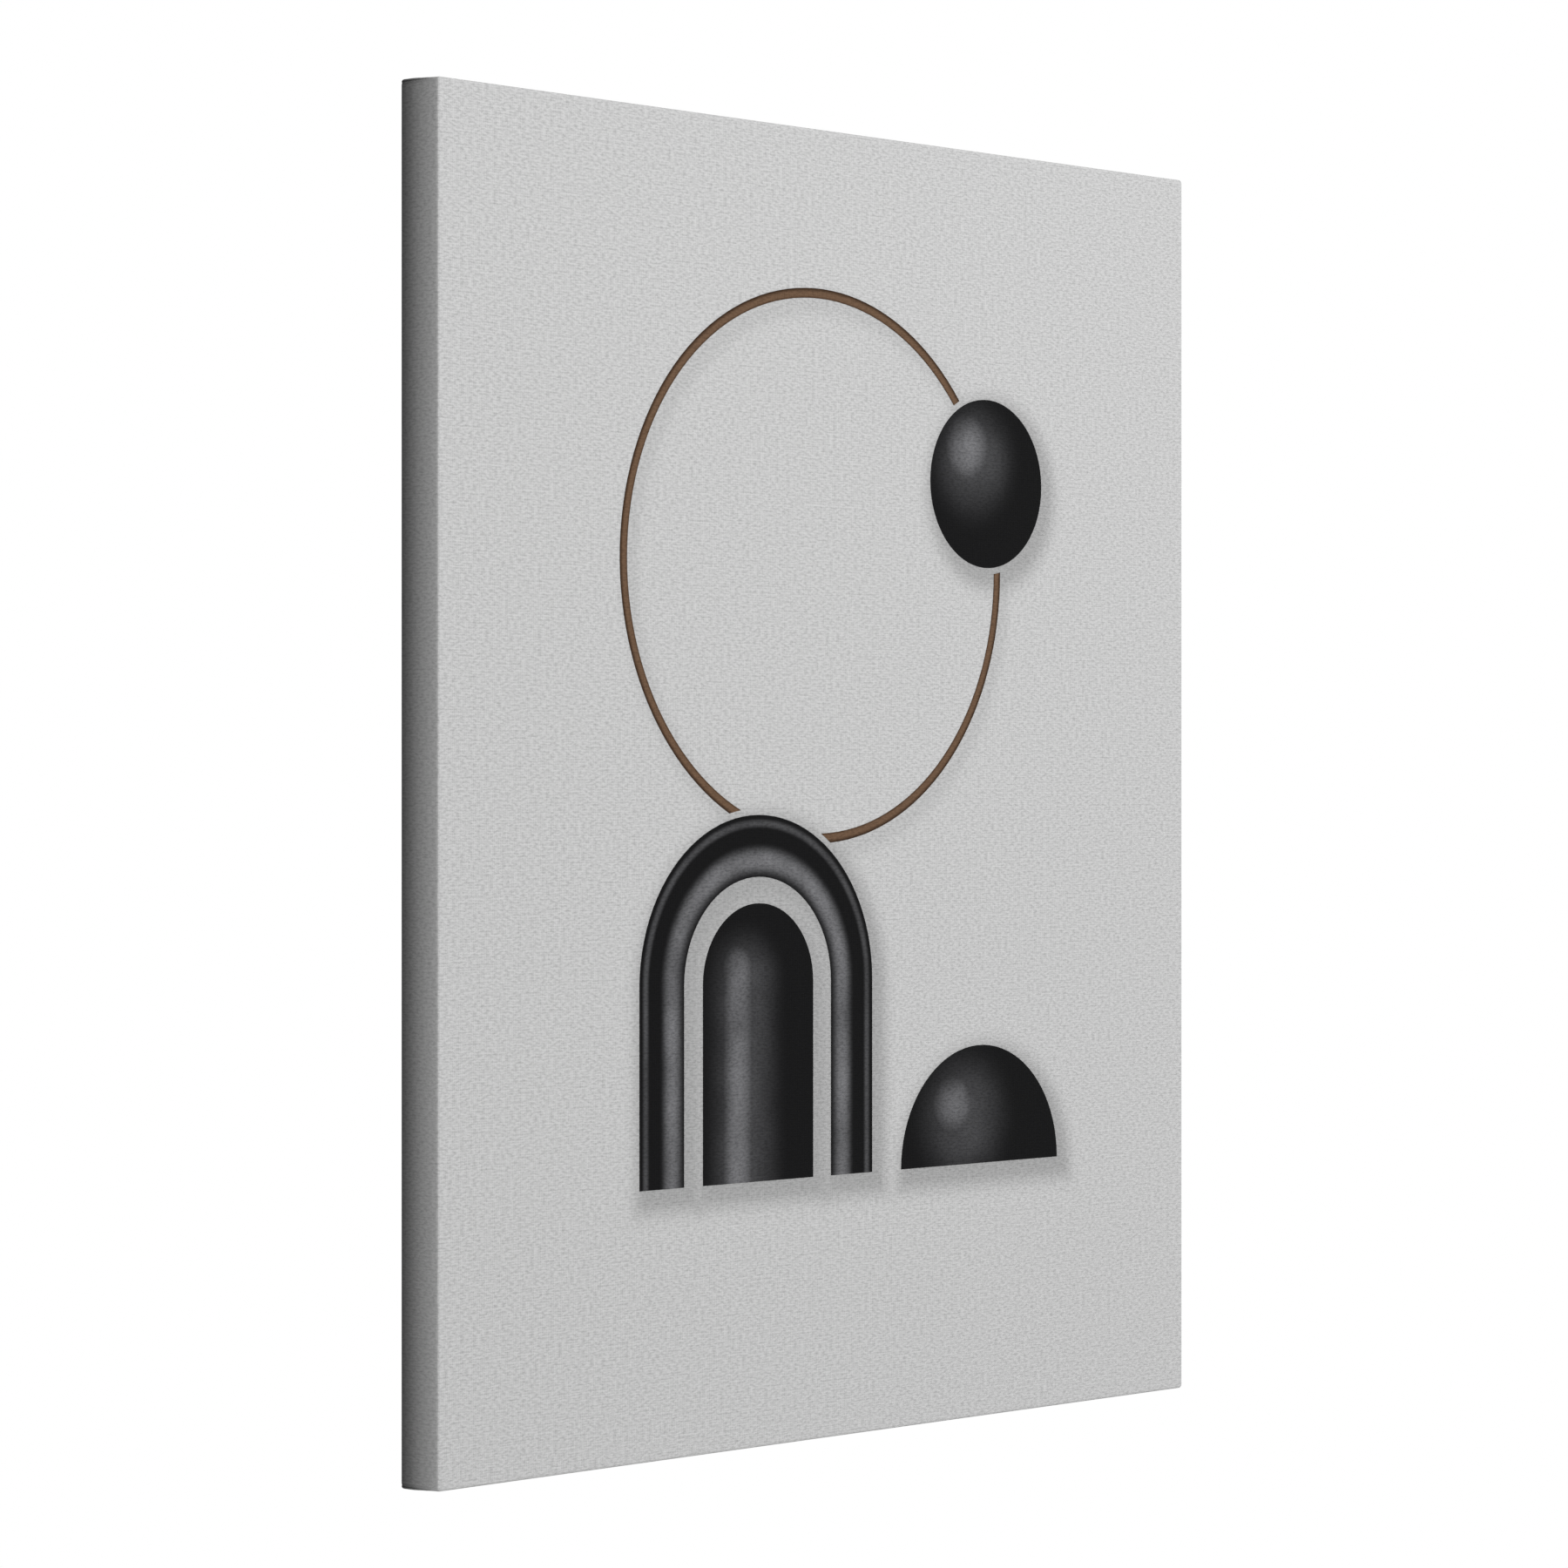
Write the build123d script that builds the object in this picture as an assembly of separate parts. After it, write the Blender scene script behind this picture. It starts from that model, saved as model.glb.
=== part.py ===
from build123d import *
from math import atan, cos, radians, sin, tan
import os

# A picture printed on canvas, stretched over a keyed pine frame and ready to hang on a wall.
# The picture faces -Y, +X is to its right as one looks at it, and +Z is up. Sizes are in millimetres.
# The pieces are drawn round the frame's centre, with y = 0 at the front of the bars, and are moved
# at the end so that the origin is where the wall nail carries the hanger, on the plane of the wall.

# Stretcher frame: four like bars, each with a raised bead under the edge of the picture
frame_width = 500.0
frame_height = 600.0
bar_width = 45.0
bar_depth = 23.0
bead_width = 4.0
bead_slope = 2.5
bead_drop = 1.6
bevel_drop = 3.8
front_edge_chamfer = 0.6
back_edge_chamfer = 1.1
corner_chamfer = 1.2
inner_edge_radius = 2.0

# Corner joint: mitred cheeks at the front and back, with two tongues in slots between them
front_cheek = 7.0
slot_thickness = 4.5
joint_clearance = 0.1
mitre_gap = 0.1
tongue_setback = 0.5

# Keys: thin wedges driven into notches beside the tongues, which spread the corner
key_seat_length = 24.0
key_stick_out = 9.0
key_tip_width = 2.0
key_mouth_width = 10.0
key_clearance = 0.1
key_thickness = 4.0

# Cross brace, with a tenon at each end in the side bars
brace_width = 40.0
brace_thickness = 12.0
brace_back_setback = 1.0
brace_edge_radius = 2.5
tenon_width = 30.0
tenon_thickness = 5.0
tenon_length = 20.0
mortise_end_gap = 0.5

# Canvas, folded round the bars as one sheet
cloth = 0.4
cloth_edge_ease = 0.15
cloth_rounding = 0.6  # how much larger the cloth's outer radius is than the chamfer under it
hem_width = 26.0
pleat_layers = 2

# Staples through the hem
staple_crown = 10.0
staple_wire_width = 1.2
staple_wire_thickness = 0.6
staple_leg = 8.0
staple_bend_slope = 0.4
staple_edge_distance = 14.0
staple_end_distance = 70.0
staple_pitch = 58.0

# Sawtooth hanger and its two screws
hanger_length = 44.0
hanger_height = 10.0
hanger_gauge = 0.8
hanger_rise = 2.4
hanger_flat_length = 22.0
hanger_foot_length = 8.0
tooth_pitch = 3.0
tooth_width = 2.7
tooth_depth = 1.8
tooth_count = 7
screw_radius = 1.1
screw_length = 9.0
screw_tip_length = 2.0
screw_tip_radius = 0.15
screw_head_radius = 2.3
screw_head_height = 1.4
screw_head_slope_height = 0.9
screw_head_slope_width = 1.1
screw_hole_radius = 1.4
screw_recess_length = 2.6
screw_recess_width = 0.6
screw_recess_depth = 0.7

# Soft bumpers on the lower corners
bumper_radius = 5.0
bumper_height = 2.8
bumper_edge_slope = 0.8
bumper_from_bottom = 46.0

# Print: plain fields of ink on the face, placed from the middle of the picture
ink = 0.1
ground_line_z = -180.0
arch_middle = -54.0
arch_outer_radius = 76.0
arch_band = 28.0
arch_gap = 12.0
arch_leg_height = 90.0
dome_middle = 98.0
dome_radius = 56.0
disc_radius = 40.0
disc_angle = 20.0
circle_middle_x = -15.0
circle_middle_z = 100.0
circle_radius = 125.0
circle_line_width = 4.5
print_gap = 3.0

# Worked out from the sizes above
slot_front = front_cheek
slot_middle = slot_front + slot_thickness
slot_back = slot_middle + slot_thickness
pleat = pleat_layers * cloth
hem_face = bar_depth + cloth
wall_plane = hem_face + bumper_height
inner_width = frame_width - 2 * bar_width
brace_back = bar_depth - brace_back_setback
brace_front = brace_back - brace_thickness
tenon_front = brace_front + (brace_thickness - tenon_thickness) / 2
tenon_back = tenon_front + tenon_thickness
hanger_middle_z = frame_height / 2 - (hem_width + bar_width) / 2
hang_z = hanger_middle_z - hanger_height / 2 + tooth_depth
margin = 5.0  # how far a cutting shape runs past what it cuts


def plate(points, low, high):
    """A flat shape drawn by its X and Z corners, filling low to high along Y."""
    face = Plane.XZ * make_face(Polyline(*points, close=True))
    return Pos(0, low, 0) * extrude(face, high - low, dir=(0, 1, 0))


def block(low, high):
    """A rectangular block between two opposite corners."""
    size = [b - a for a, b in zip(low, high)]
    middle = [(a + b) / 2 for a, b in zip(low, high)]
    return Pos(*middle) * Box(*size)


def mirror_x(points):
    return [(-x, z) for x, z in points]


def eased_block(finish, more, grow=0, grow_more=0):
    """The frame's outer block, grown all round, and more at the back and the two ends, where the
    pleats lie. Finish, a chamfer or a fillet, eases its corners and its front and back edges."""
    half_x = frame_width / 2 + grow
    half_z = frame_height / 2 + grow + grow_more
    back_y = bar_depth + grow + grow_more
    solid = block((-half_x, -grow, -half_z), (half_x, back_y, half_z))
    solid = finish(solid.edges().filter_by(Axis.Y), corner_chamfer + more)
    solid = finish(solid.faces().sort_by(Axis.Y)[0].edges(), front_edge_chamfer + more)
    return finish(solid.faces().sort_by(Axis.Y)[-1].edges(), back_edge_chamfer + more)


# Stretcher bars. One is drawn as the top bar: x runs along it and z falls from its outer face at 0.


def bar_stock(length):
    """The moulded length of wood that a bar is cut from."""
    corners = [
        (0, 0),
        (0, -bead_width),
        (bead_drop, -bead_width - bead_slope),
        (bevel_drop, -bar_width),
        (bar_depth, -bar_width),
        (bar_depth, 0),
    ]
    stock = extrude(Plane.YZ * make_face(Polyline(*corners, close=True)), length / 2, both=True)
    inner_edges = stock.edges().filter_by(Axis.X).group_by(Axis.Z)[0]
    return fillet(inner_edges, inner_edge_radius)


def key_outline(length, clearance, stick_out):
    """The tapered notch or key at the left end, from its tip in the bar to its broad end outside."""
    straight_edge = -length / 2 + bar_width + clearance
    taper = (key_mouth_width - key_tip_width) / key_seat_length
    broad = key_tip_width + taper * (key_seat_length + stick_out)
    tip_z = -bar_width + key_seat_length
    broad_z = -bar_width - stick_out
    return [
        (straight_edge, broad_z),
        (straight_edge + broad - 2 * clearance, broad_z),
        (straight_edge + key_tip_width - 2 * clearance, tip_z - clearance),
        (straight_edge, tip_z - clearance),
    ]


def bar(length):
    """A bar with a tongue behind its front cheek at the right end, and one further back at the left."""
    half = length / 2
    solid = bar_stock(length)
    past_mitre = [
        (half - mitre_gap / 2 + margin, margin),
        (half - mitre_gap / 2 - bar_width - margin, -bar_width - margin),
        (half + 2 * margin, -bar_width - margin),
        (half + 2 * margin, margin),
    ]
    past_shoulder = [
        (half - bar_width - joint_clearance, margin),
        (half - bar_width - joint_clearance, -bar_width - margin),
        (half + margin, -bar_width - margin),
        (half + margin, margin),
    ]
    past_tongue = [
        (half - tongue_setback, margin),
        (half - tongue_setback, -bar_width - margin),
        (half + margin, -bar_width - margin),
        (half + margin, margin),
    ]
    notch = key_outline(length, 0, margin)
    back = bar_depth + margin
    cuts = [
        plate(past_mitre, -margin, slot_front + joint_clearance),
        plate(past_shoulder, slot_middle - joint_clearance, slot_back),
        plate(past_mitre, slot_back, back),
        plate(past_tongue, -margin, back),
        plate(mirror_x(notch), slot_middle - joint_clearance, slot_back),
        plate(mirror_x(past_mitre), -margin, slot_front),
        plate(mirror_x(past_shoulder), slot_front, slot_middle + joint_clearance),
        plate(mirror_x(past_mitre), slot_back - joint_clearance, back),
        plate(mirror_x(past_tongue), slot_front, slot_back),
        plate(notch, slot_front, slot_middle + joint_clearance),
    ]
    return solid - cuts


def mortise():
    """The pocket for the brace's tenon, in the middle of a side bar's inner face."""
    half = tenon_width / 2 + joint_clearance
    floor = -bar_width + tenon_length + mortise_end_gap
    return block(
        (-half, tenon_front - joint_clearance, -bar_width - margin),
        (half, tenon_back + joint_clearance, floor),
    )


def key(length, at_left):
    """One wedge, in the slot at the left or the right end of a bar."""
    outline = key_outline(length, key_clearance, key_stick_out)
    front = slot_front if at_left else slot_middle
    low = front + (slot_thickness - key_thickness) / 2
    return plate(outline if at_left else mirror_x(outline), low, low + key_thickness)


def brace():
    half_length = inner_width / 2 - joint_clearance
    rail = block(
        (-half_length, brace_front, -brace_width / 2),
        (half_length, brace_back, brace_width / 2),
    )
    rail = fillet(rail.edges().filter_by(Axis.X), brace_edge_radius)
    tenon_end = inner_width / 2 + tenon_length
    tenons = block(
        (-tenon_end, tenon_front, -tenon_width / 2),
        (tenon_end, tenon_back, tenon_width / 2),
    )
    return rail + tenons


# Canvas. The excess at each corner is folded into a pleat on the top or bottom face, and the hem's
# pleat is drawn over the side hems on a 45 degree line.


def pleat_zone():
    """The space over the pleat at the top right corner, on the top face and on the back."""
    corner_x = frame_width / 2 + cloth
    corner_z = frame_height / 2 + cloth
    reach = bar_depth + 2 * cloth
    depth = hem_width + cloth
    beyond = pleat + margin
    on_top = Plane.XY * make_face(
        Polyline(
            (corner_x, -cloth),
            (corner_x, hem_face + beyond),
            (corner_x - reach, hem_face + beyond),
            (corner_x - reach, hem_face),
            close=True,
        )
    )
    top = Pos(0, 0, corner_z - 2 * margin) * extrude(on_top, 3 * margin)
    back_corners = [
        (corner_x, corner_z + beyond),
        (corner_x, corner_z),
        (corner_x - depth, corner_z - depth),
        (corner_x - depth - reach, corner_z - depth),
        (corner_x - reach, corner_z),
        (corner_x - reach, corner_z + beyond),
    ]
    back = plate(back_corners, hem_face - 2 * margin, hem_face + margin)
    return [top, back]


def canvas(leg_holes):
    inside = eased_block(chamfer, -cloth_edge_ease)
    sheet = eased_block(fillet, cloth_rounding, cloth)
    over_pleats = eased_block(fillet, cloth_rounding, cloth, pleat)
    opening_x = frame_width / 2 - hem_width
    opening_z = frame_height / 2 - hem_width
    back_opening = block(
        (-opening_x, margin, -opening_z),
        (opening_x, hem_face + pleat + margin, opening_z),
    )
    for zone in pleat_zone():
        corner = over_pleats & zone
        for side in (corner, mirror(corner, Plane.YZ)):
            sheet = sheet + side + mirror(side, Plane.XY)
    return sheet - inside - back_opening - leg_holes


# Staples, hanger, screws and bumpers


def staple():
    """A staple whose crown lies along X on y = 0, with its legs driven towards the front."""
    half = staple_crown / 2
    wire = staple_wire_thickness
    wide = staple_wire_width / 2
    crown = block((-half, 0, -wide), (half, wire, wide))
    crown = chamfer(crown.edges().filter_by(Axis.Z).group_by(Axis.Y)[-1], staple_bend_slope)
    legs = [
        block((x, -staple_leg, -wide), (x + wire, 0, wide))
        for x in (-half, half - wire)
    ]
    return crown + legs


def evenly(length):
    """Places along a side of that length, from its middle, with equal gaps near the staple pitch."""
    span = length - 2 * staple_end_distance
    gaps = max(1, round(span / staple_pitch))
    return [-span / 2 + span * i / gaps for i in range(gaps + 1)]


def staples():
    row_x = frame_width / 2 - staple_edge_distance
    row_z = frame_height / 2 - staple_edge_distance
    places = []
    for side in (-1, 1):
        places += [Pos(x, hem_face, side * row_z) for x in evenly(frame_width)]
        places += [Pos(side * row_x, hem_face, z) * Rot(0, 90, 0) for z in evenly(frame_height)]
        for end in (-1, 1):
            in_pleat = (hem_width + bar_depth + 3 * cloth) / 2
            x = end * (frame_width / 2 + cloth - in_pleat)
            z = side * (frame_height / 2 + cloth - (hem_width + cloth) / 2)
            places.append(Pos(x, hem_face + pleat, z))
    one = staple()
    return [place * one for place in places]


def hanger():
    """A strip bent away from the wood between its two feet, with teeth cut in its lower edge."""
    flat = hanger_flat_length / 2
    foot = hanger_length / 2 - hanger_foot_length
    end = hanger_length / 2
    lean = hanger_gauge * tan(atan(hanger_rise / (foot - flat)) / 2)
    under = [(0, hanger_rise), (flat, hanger_rise), (foot, 0), (end, 0)]
    over = [
        (end, hanger_gauge),
        (foot + lean, hanger_gauge),
        (flat + lean, hanger_rise + hanger_gauge),
        (0, hanger_rise + hanger_gauge),
    ]
    half_profile = make_face(Polyline(*under, *over, close=True))
    half = extrude(half_profile, hanger_height / 2, both=True)
    strip = half + mirror(half, Plane.YZ)
    low = -hanger_height / 2
    for i in range(tooth_count):
        x = (i - (tooth_count - 1) / 2) * tooth_pitch
        notch = [(x - tooth_width / 2, low), (x, low + tooth_depth), (x + tooth_width / 2, low)]
        strip = strip - plate(notch, 0, hanger_rise + 2 * hanger_gauge)
    for x in screw_places():
        strip = strip - Pos(x, 0, 0) * Rot(90, 0, 0) * Cylinder(screw_hole_radius, margin)
    return Pos(0, bar_depth, hanger_middle_z) * strip


def screw_places():
    middle_of_foot = hanger_length / 2 - hanger_foot_length / 2
    return (-middle_of_foot, middle_of_foot)


def screw():
    """A round-headed screw whose head sits on y = 0 and faces +Y."""
    shank = screw_length - screw_tip_length
    outline = [
        (0, screw_head_height),
        (screw_head_radius - screw_head_slope_width, screw_head_height),
        (screw_head_radius, screw_head_height - screw_head_slope_height),
        (screw_head_radius, 0),
        (screw_radius, 0),
        (screw_radius, -shank),
        (screw_tip_radius, -screw_length),
        (0, -screw_length),
    ]
    solid = revolve(make_face(Polyline(*outline, close=True)), Axis.Y)
    half = screw_recess_length / 2
    wide = screw_recess_width / 2
    floor = screw_head_height - screw_recess_depth
    top = screw_head_height + margin
    across = block((-half, floor, -wide), (half, top, wide))
    upright = block((-wide, floor, -half), (wide, top, half))
    return solid - [across, upright]


def screws():
    seat = bar_depth + hanger_gauge
    return [Pos(x, seat, hanger_middle_z) * screw() for x in screw_places()]


def bumper(side):
    puck = Rot(-90, 0, 0) * Cylinder(
        bumper_radius, bumper_height, align=(Align.CENTER, Align.CENTER, Align.MIN)
    )
    puck = chamfer(puck.edges().filter_by(GeomType.CIRCLE).group_by(Axis.Y)[-1], bumper_edge_slope)
    x = side * (frame_width / 2 - hem_width / 2)
    return Pos(x, hem_face, -frame_height / 2 + bumper_from_bottom) * puck


# Print


def disc_centre():
    turn = radians(disc_angle)
    return (
        circle_middle_x + circle_radius * cos(turn),
        circle_middle_z + circle_radius * sin(turn),
    )


def inked(face):
    """A field of ink on the front of the canvas, from a face drawn in X and Z."""
    return Pos(0, -cloth - ink, 0) * extrude(Plane.XZ * face, ink, dir=(0, 1, 0))


def half_disc(middle, floor, radius):
    """The upper half of a disc, standing on its flat side."""
    upper = Pos(middle, floor + radius / 2) * Rectangle(2 * radius, radius)
    return Pos(middle, floor) * Circle(radius) & upper


def arch_face(spread):
    """The arch, grown all round by spread, over the ground line."""
    outer = arch_outer_radius + spread
    inner = arch_outer_radius - arch_band - spread
    spring = ground_line_z + arch_leg_height
    above = half_disc(arch_middle, spring, outer) - Pos(arch_middle, spring) * Circle(inner)
    leg_middle = (outer + inner) / 2
    leg = Rectangle(outer - inner, arch_leg_height)
    legs = [Pos(arch_middle + side * leg_middle, spring - arch_leg_height / 2) * leg for side in (-1, 1)]
    return above + legs


def arch_core():
    """The filled arch that stands inside the other."""
    radius = arch_outer_radius - arch_band - arch_gap
    spring = ground_line_z + arch_leg_height
    body = Pos(arch_middle, spring - arch_leg_height / 2) * Rectangle(2 * radius, arch_leg_height)
    return half_disc(arch_middle, spring, radius) + body


def dark_print():
    dome = half_disc(dome_middle, ground_line_z, dome_radius)
    disc = Pos(*disc_centre()) * Circle(disc_radius)
    return [inked(face) for face in (arch_face(0), arch_core(), dome, disc)]


def line_print():
    """A thin circle that stops short of the disc and of the arch."""
    half = circle_line_width / 2
    ring = Circle(circle_radius + half) - Circle(circle_radius - half)
    line = Pos(circle_middle_x, circle_middle_z) * ring
    line = line - Pos(*disc_centre()) * Circle(disc_radius + print_gap)
    return inked(line - arch_face(print_gap))


# Assembly. Each bar's left and right ends, as it is drawn, are named for where they come to lie.


def build():
    turns = {
        "top": (0, "left", "right"),
        "right": (90, "top", "bottom"),
        "bottom": (180, "right", "left"),
        "left": (270, "bottom", "top"),
    }
    all_staples = staples()
    all_screws = screws()
    outer_form = eased_block(chamfer, 0)
    parts = {"canvas": canvas(all_staples)}
    for name, (turn, left_end, right_end) in turns.items():
        upright = turn % 180 == 90
        length = frame_height if upright else frame_width
        rise = (frame_width if upright else frame_height) / 2
        place = Rot(0, turn, 0) * Pos(0, 0, rise)
        solid = bar(length)
        if upright:
            solid = solid - mortise()
        solid = (place * solid) & outer_form
        parts[f"{name}_bar"] = solid - all_staples - all_screws
        parts[f"{name}_bar_key_{left_end}"] = place * key(length, True)
        parts[f"{name}_bar_key_{right_end}"] = place * key(length, False)
    parts["cross_brace"] = brace()
    parts["staples"] = Compound(all_staples)
    parts["sawtooth_hanger"] = hanger()
    parts["hanger_screws"] = Compound(all_screws)
    parts["bumper_left"] = bumper(-1)
    parts["bumper_right"] = bumper(1)
    parts["print_dark_shapes"] = Compound(dark_print())
    parts["print_brown_circle"] = line_print()
    return parts


os.makedirs("parts", exist_ok=True)
to_hang_point = Pos(0, -wall_plane, -hang_z)
for node, shape in build().items():
    export_step(to_hang_point * shape, f"parts/{node}.step")
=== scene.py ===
from math import pi, radians

import bmesh
import bpy
import numpy as np
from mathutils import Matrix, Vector


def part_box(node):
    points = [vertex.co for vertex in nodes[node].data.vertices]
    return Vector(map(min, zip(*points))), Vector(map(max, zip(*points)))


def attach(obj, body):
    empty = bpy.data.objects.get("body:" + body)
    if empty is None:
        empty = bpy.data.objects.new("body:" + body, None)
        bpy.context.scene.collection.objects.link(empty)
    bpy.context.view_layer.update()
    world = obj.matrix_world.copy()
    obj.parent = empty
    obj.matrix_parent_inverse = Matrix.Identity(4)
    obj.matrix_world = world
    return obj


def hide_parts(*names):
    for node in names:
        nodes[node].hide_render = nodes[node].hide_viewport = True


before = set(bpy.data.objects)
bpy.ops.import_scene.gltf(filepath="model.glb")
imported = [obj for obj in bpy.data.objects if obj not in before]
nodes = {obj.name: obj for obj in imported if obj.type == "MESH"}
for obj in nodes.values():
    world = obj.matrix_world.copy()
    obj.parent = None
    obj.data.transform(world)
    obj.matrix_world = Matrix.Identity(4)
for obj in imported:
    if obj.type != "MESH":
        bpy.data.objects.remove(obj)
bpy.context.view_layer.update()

# A picture on canvas, stretched over pine bars and hung by a sawtooth hanger.
# Metres, +X to the right as one looks at the picture, +Y into the wall, +Z up.


def boxOf(name):
    low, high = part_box(name)
    return np.array(low), np.array(high)


# canvas and its folds

canvas = {
    "cloth": 0.0004,  # thickness of the coated cotton
    "pleatLayers": 2,  # extra layers in a corner fold
    "hem": 0.0264,  # turned over on the back, from the outer face
    "cornerRadius": 0.0018,
    "frontRadius": 0.0012,
    "backRadius": 0.0017,
    "cell": 0.004,  # size of a cell of the mesh along the edges
    "roundRows": 7,  # rows of points round an edge, down the side and over the hem
    "sideRows": 7,
    "hemRows": 9,
    "stapleEdge": 0.014,
    "stapleEnd": 0.070,
    "staplePitch": 0.058,
}

slack = {  # how the hem lies on the wood
    "lift": 0.00055,  # how far it stands off between staples
    "swell": (0.65, 0.35),  # mean share of the lift, and how much it varies
    "hold": 0.0125,  # reach of a staple or bumper, which hold it down
    "fromEdge": (0.004, 0.012),  # where the lift begins, and the length over which it grows
    "fromCorner": (0.062, 0.020),
    "wander": 0.00025,  # how far the scissors strayed
    "wanderFrom": 0.012,  # past the back edge
    "wanderFade": 0.030,  # the straying dies out towards a corner
    "girth": 2.2,  # round the four sides
    "waves": (9, 70),  # fewest and most in the span
    "waveSpan": 1.7,
}

fold = {
    "rows": (12, 8, 14),  # down the side, round the back edge and over the hem
    "grow": 0.016,  # length over which it reaches its full thickness
    "thin": 0.00004,  # thickness where it starts, at the front edge
    "slope": 0.0032,  # width of the ramp down to the cloth beside it
    "inset": 0.0005,  # from the corner to the folded edge
    "past": 0.0001,  # the ramp's foot, beyond the fold's diagonal
    "sunk": 0.00003,  # into the cloth under it
}

design = {  # the print's plain shapes, from the middle of the picture
    "ground": -0.180,
    "arch": (-0.054, -0.090, 0.062, 0.014),  # middle, radius and half width of the band
    "core": (-0.054, -0.090, 0.036),  # the filled arch inside it
    "dome": (0.098, -0.180, 0.056),
    "disc": (0.10246, 0.14275, 0.040),
    "ring": (-0.015, 0.100, 0.125, 0.00225),
    "shadowMove": (0.0035, -0.0045),
    "shadowReach": 0.016,
    "shadowDark": 0.34,
    "ringReach": 0.008,
    "ringDark": 0.35,  # share of the shapes' own shadow
}

canvasLow, canvasHigh = boxOf("canvas")
pleat = canvas["pleatLayers"] * canvas["cloth"]
halfWide = (canvasHigh[0] - canvasLow[0]) / 2
halfHigh = (canvasHigh[2] - canvasLow[2]) / 2 - pleat
middleZ = (canvasHigh[2] + canvasLow[2]) / 2
frontY = canvasLow[1]
backY = canvasHigh[1] - pleat  # outer face of the hem, off the folds
sideDepth = backY - frontY


def smooth(t):
    t = np.clip(t, 0, 1)
    return t * t * (3 - 2 * t)


def grow(distance, start, length):
    return smooth((distance - start) / length)


def ripple(x, seed):
    # sum of five sines with seeded lengths and phases, about -1 to 1, x in metres
    random = np.random.default_rng(seed)
    waves = random.uniform(*slack["waves"], 5)
    phases = random.uniform(0, 2 * pi, 5)
    turns = 2 * pi / slack["waveSpan"]
    return sum(np.sin(x * w * turns + p) for w, p in zip(waves, phases)) / 2.6


def wrapProfile(inset):
    # from the flat front, round the front edge, over the side, round the back edge, along the hem
    # outward = distance beyond the corner arcs' centres, across = y,
    # along = distance on the sheet past the front edge
    r, rf, rb = canvas["cornerRadius"], canvas["frontRadius"], canvas["backRadius"]
    turn = np.linspace(0, pi / 2, canvas["roundRows"])
    side = np.linspace(rf, sideDepth - rb, canvas["sideRows"] + 2)[1:-1]
    hem = np.linspace(0, 1, canvas["hemRows"] + 1)[1:]
    outward = [[0], r - rf + (rf - inset) * np.sin(turn), np.full(len(side), r - inset)]
    outward += [r - rb + (rb - inset) * np.cos(turn), (r - rb) + hem * (rb - canvas["hem"])]
    across = [[frontY + inset], frontY + rf - (rf - inset) * np.cos(turn), frontY + side]
    across += [backY - rb + (rb - inset) * np.sin(turn), np.full(len(hem), backY - inset)]
    bend = turn / (pi / 2)
    along = [[-r], -rf + 2 * rf * bend, side, sideDepth - rb + 2 * rb * bend]
    along += [sideDepth + rb + hem * (canvas["hem"] - rb)]
    return [np.concatenate(part) for part in (outward, across, along)]


def stapleRow(length):
    span = length - 2 * canvas["stapleEnd"]
    threadGapShade = max(1, round(span / canvas["staplePitch"]))
    return np.linspace(-span / 2, span / 2, threadGapShade + 1)


def hemLift(x, z):
    # lift = most * (1 - nearness to a staple or bumper), and none in the corner folds
    # x and z from the middle of the picture
    wide, high = halfWide - canvas["cloth"], halfHigh - canvas["cloth"]
    rowX, rowZ = wide - canvas["stapleEdge"], high - canvas["stapleEdge"]
    held = [(s, side * rowZ) for side in (-1, 1) for s in stapleRow(2 * wide)]
    held += [(side * rowX, s) for side in (-1, 1) for s in stapleRow(2 * high)]
    for name in ("bumper_left", "bumper_right"):
        low, top = boxOf(name)
        held += [((low[0] + top[0]) / 2, (low[2] + top[2]) / 2 - middleZ)]
    near = np.zeros_like(x)
    for sx, sz in held:
        squared = (x - sx) ** 2 + (z - sz) ** 2
        near = np.maximum(near, np.exp(-squared / slack["hold"] ** 2))
    inX, inZ = halfWide - np.abs(x), halfHigh - np.abs(z)
    rise = grow(np.minimum(inX, inZ), *slack["fromEdge"]) * grow(inX + inZ, *slack["fromCorner"])
    mean, change = slack["swell"]
    swell = mean + change * ripple(x + 1.3 * z, seed=4)
    return slack["lift"] * (1 - near) * rise * np.clip(swell, 0, 1.2)


def edgePath():
    # points round the rectangle of the corner arcs' centres, with the outward direction at each
    wide, high = halfWide - canvas["cornerRadius"], halfHigh - canvas["cornerRadius"]
    xs = np.linspace(-wide, wide, round(2 * wide / canvas["cell"]) + 1)
    zs = np.linspace(high, -high, round(2 * high / canvas["cell"]) + 1)
    turn = np.linspace(0, pi / 2, canvas["roundRows"])[1:-1]
    bases, ways = [], []
    for base, way in (
        (np.stack([xs, np.full_like(xs, high)], 1), pi / 2),
        (np.stack([np.full_like(zs, wide), zs], 1), 0),
        (np.stack([-xs, np.full_like(xs, -high)], 1), -pi / 2),
        (np.stack([np.full_like(zs, -wide), -zs], 1), -pi),
    ):
        bases += [base, np.repeat(base[-1:], len(turn), 0)]
        ways += [np.full(len(base), way), way - turn]
    ways = np.concatenate(ways)
    return np.concatenate(bases), np.stack([np.cos(ways), np.sin(ways)], 1), xs, zs


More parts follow.
